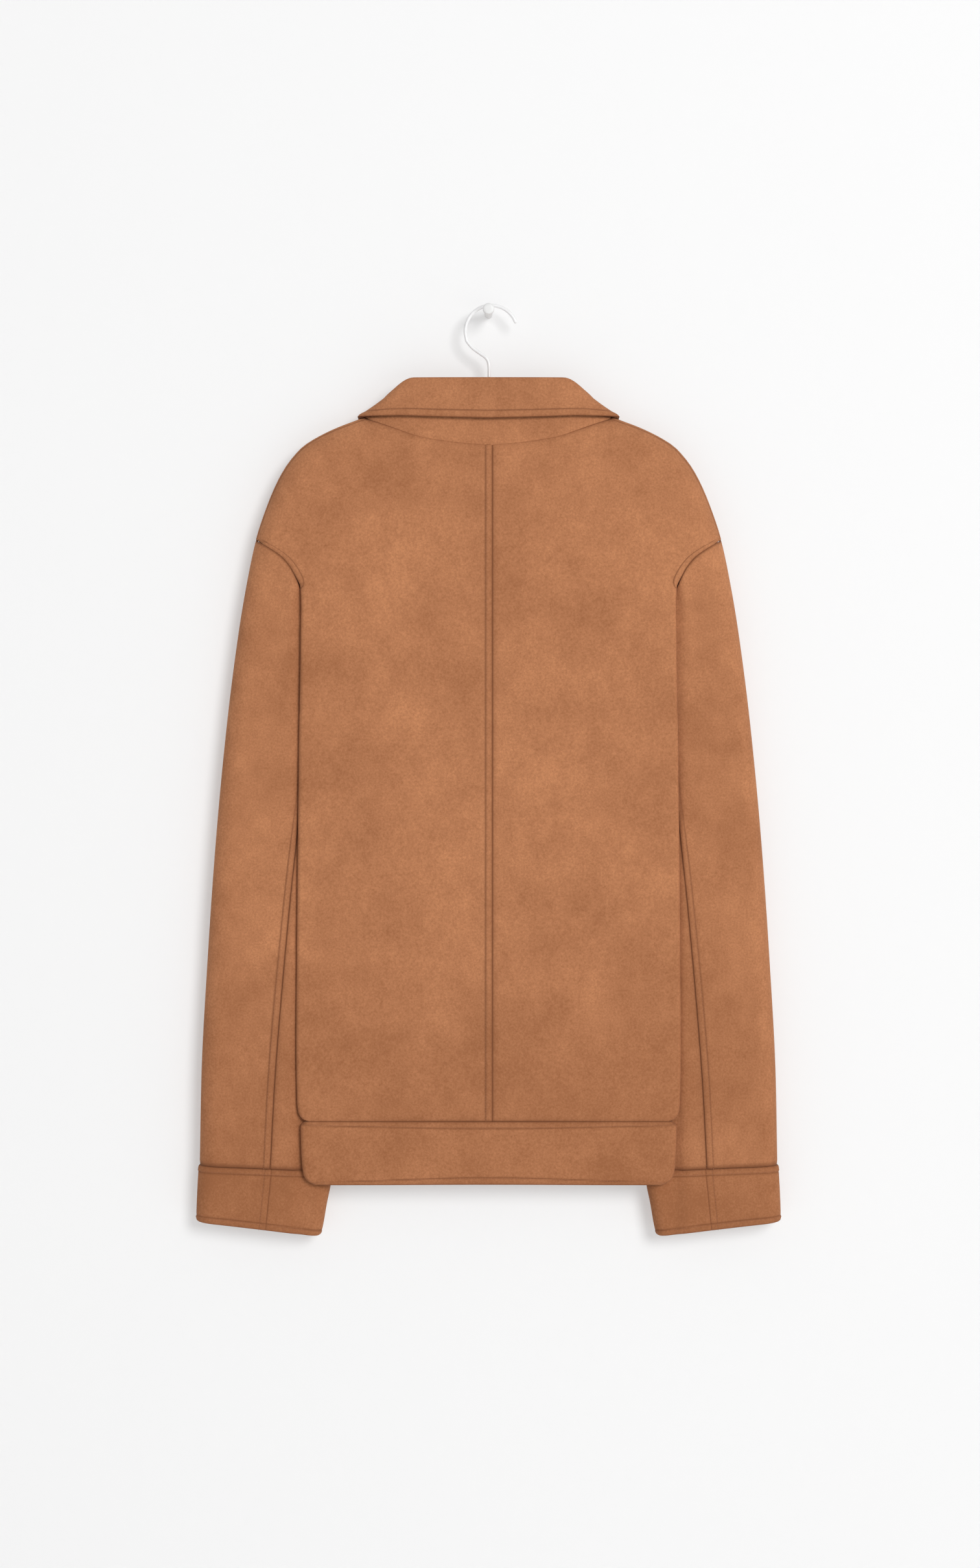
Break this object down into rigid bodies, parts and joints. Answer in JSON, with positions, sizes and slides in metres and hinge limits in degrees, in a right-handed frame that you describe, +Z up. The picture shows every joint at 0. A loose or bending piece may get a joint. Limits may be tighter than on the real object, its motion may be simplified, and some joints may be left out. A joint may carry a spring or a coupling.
{
  "type": "suede jacket on a clothes hanger and wall peg",
  "caption": "Tan suede jacket with shirt collar, hem band and cuffs, hanging nearly flat from a hanger on a wall peg, seen from the back.",
  "frame": {"origin": "centre of the wall peg's flat back face, on the wall", "axes": "+Y into the wall, +Z up, +X to the right seen from the jacket's back"},
  "size_m": [0.5446, 0.0418, 0.8684],
  "materials": {
    "suede": "matte",
    "white_plastic": "gloss",
    "painted_peg": "satin",
    "button_horn": "gloss"
  },
  "bodies": {
    "root": {"back_left": "suede", "back_right": "suede", "front_left": "suede", "front_right": "suede", "hem_back": "suede", "hem_front_left": "suede", "hem_front_right": "suede", "sleeve_outer_left": "suede", "sleeve_outer_right": "suede", "sleeve_under_left": "suede", "sleeve_under_right": "suede", "cuff_left": "suede", "cuff_right": "suede", "collar_stand": "suede", "collar_fall": "suede", "button_1": "button_horn", "button_2": "button_horn", "button_3": "button_horn", "button_4": "button_horn", "button_5": "button_horn", "button_6": "button_horn", "hanger_arms": "white_plastic", "hanger_hook": "white_plastic", "wall_peg": "painted_peg"}
  },
  "joints": []
}
